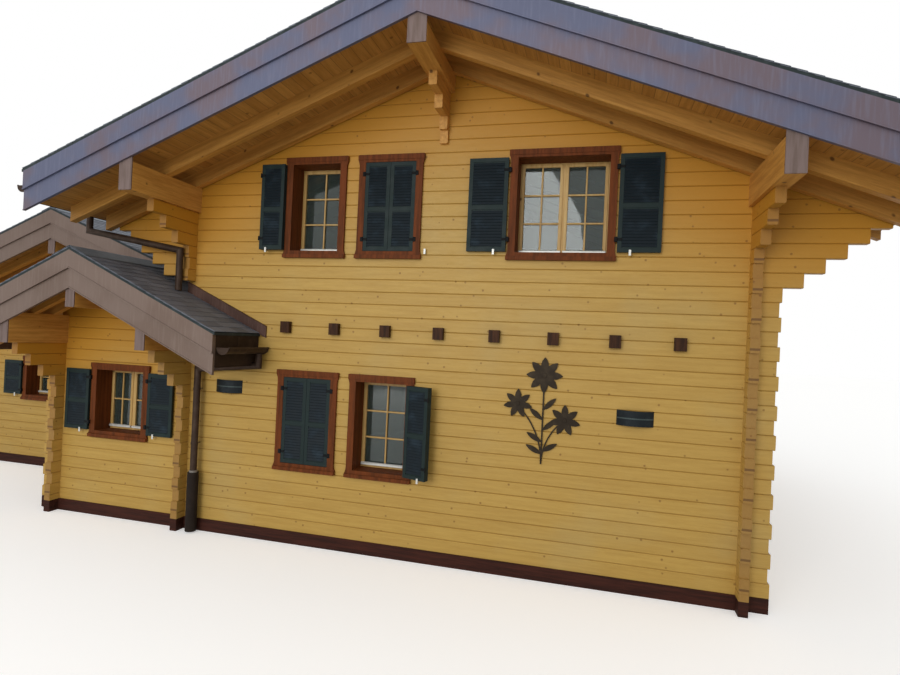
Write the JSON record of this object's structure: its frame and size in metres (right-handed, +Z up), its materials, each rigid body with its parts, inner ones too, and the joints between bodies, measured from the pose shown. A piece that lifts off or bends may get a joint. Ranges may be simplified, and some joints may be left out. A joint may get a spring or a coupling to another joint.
{
  "type": "alpine chalet",
  "caption": "Two-storey timber chalet of squared logs with a low gable roof, a small front bay and a lower side wing.",
  "frame": {"origin": "middle of the whole outline in plan, on the ground", "axes": "+X to the right along the front gable wall, -Y out of the front, +Z up"},
  "size_m": [16.27, 11.394, 6.695],
  "materials": {
    "base_board": "dark stained",
    "screed": "floated",
    "floor_boards": "oiled",
    "log_timber": "satin varnish",
    "beam_timber": "satin varnish",
    "roof_boards": "planed",
    "roof_metal": "matt",
    "roof_shingle": "split slate",
    "copper_board": "weathered copper",
    "copper_cap": "weathered copper",
    "gutter_metal": "weathered",
    "casing_paint": "red-brown stain",
    "sash_timber": "satin varnish",
    "window_glass": "clear",
    "shutter_paint": "satin paint",
    "door_timber": "satin stain",
    "dark_steel": "matt"
  },
  "bodies": {
    "root": {"plinth": "base_board", "ground_floor": "screed", "upper_floor": "floor_boards", "floor_joists": "beam_timber", "gable_wall_front": "log_timber", "gable_wall_rear": "log_timber", "side_wall_left": "log_timber", "side_wall_right": "log_timber", "ridge_beam": "beam_timber", "wall_purlins": "beam_timber", "ridge_corbels": "beam_timber", "rafters": "beam_timber", "roof_deck_left": "roof_boards", "roof_deck_right": "roof_boards", "roof_cover": "roof_metal", "bargeboards_upper": "copper_board", "bargeboards_lower": "copper_board", "beam_caps": "copper_cap", "gutters": "gutter_metal", "downpipes": "gutter_metal", "bay_wall_front": "log_timber", "bay_wall_left": "log_timber", "bay_beams": "beam_timber", "bay_rafters": "beam_timber", "bay_roof_deck": "roof_boards", "bay_roof_cover": "roof_shingle", "bay_bargeboards": "copper_board", "bay_flashing": "copper_cap", "wing_wall_front": "log_timber", "wing_wall_rear": "log_timber", "wing_wall_left": "log_timber", "wing_beams": "beam_timber", "wing_rafters": "beam_timber", "wing_roof_deck": "roof_boards", "wing_roof_cover": "roof_shingle", "wing_bargeboards": "copper_board", "window_casings": "casing_paint", "window_frames": "sash_timber", "window_glass": "window_glass", "back_door": "door_timber", "shutters_front": "shutter_paint", "shutters_side": "shutter_paint", "shutters_rear": "shutter_paint", "wall_lights": "dark_steel", "wall_ornament": "dark_steel"}
  },
  "joints": []
}
